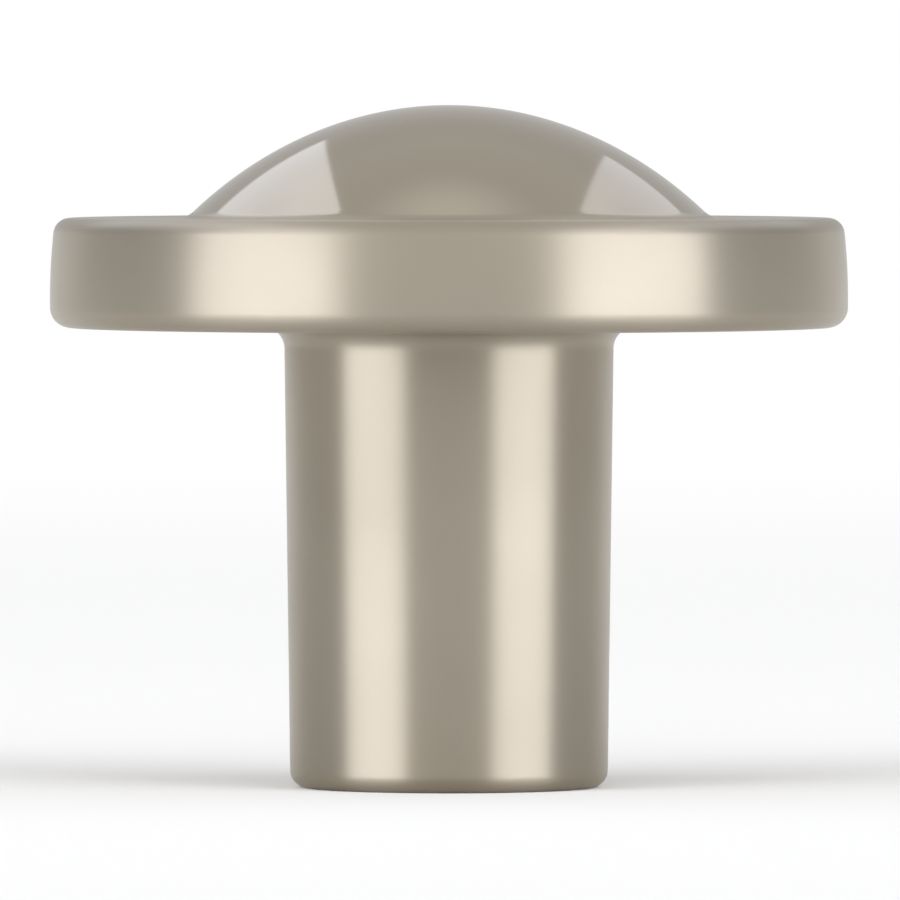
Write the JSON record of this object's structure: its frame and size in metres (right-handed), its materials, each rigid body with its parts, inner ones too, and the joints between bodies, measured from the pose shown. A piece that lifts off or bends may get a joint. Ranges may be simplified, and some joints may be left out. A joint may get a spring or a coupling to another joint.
{
  "type": "cabinet knob",
  "caption": "Round cabinet knob: a low dome on a disc flange with a crowned wall, on a plain round stem, with a blind tapped fixing hole in its foot. Satin nickel finish.",
  "frame": {"origin": "centre of the foot, in the plane of the door face that it seats on", "axes": "+Z along the knob's axis, away from the door and towards the dome; the knob is round, so +X and +Y are any two directions square to it"},
  "size_m": [0.0318, 0.0318, 0.0271],
  "materials": {
    "satin_nickel": "satin nickel plate on zinc alloy, with the dome buffed up to a soft polish"
  },
  "bodies": {
    "root": {"knob_body": "satin_nickel"}
  },
  "joints": []
}
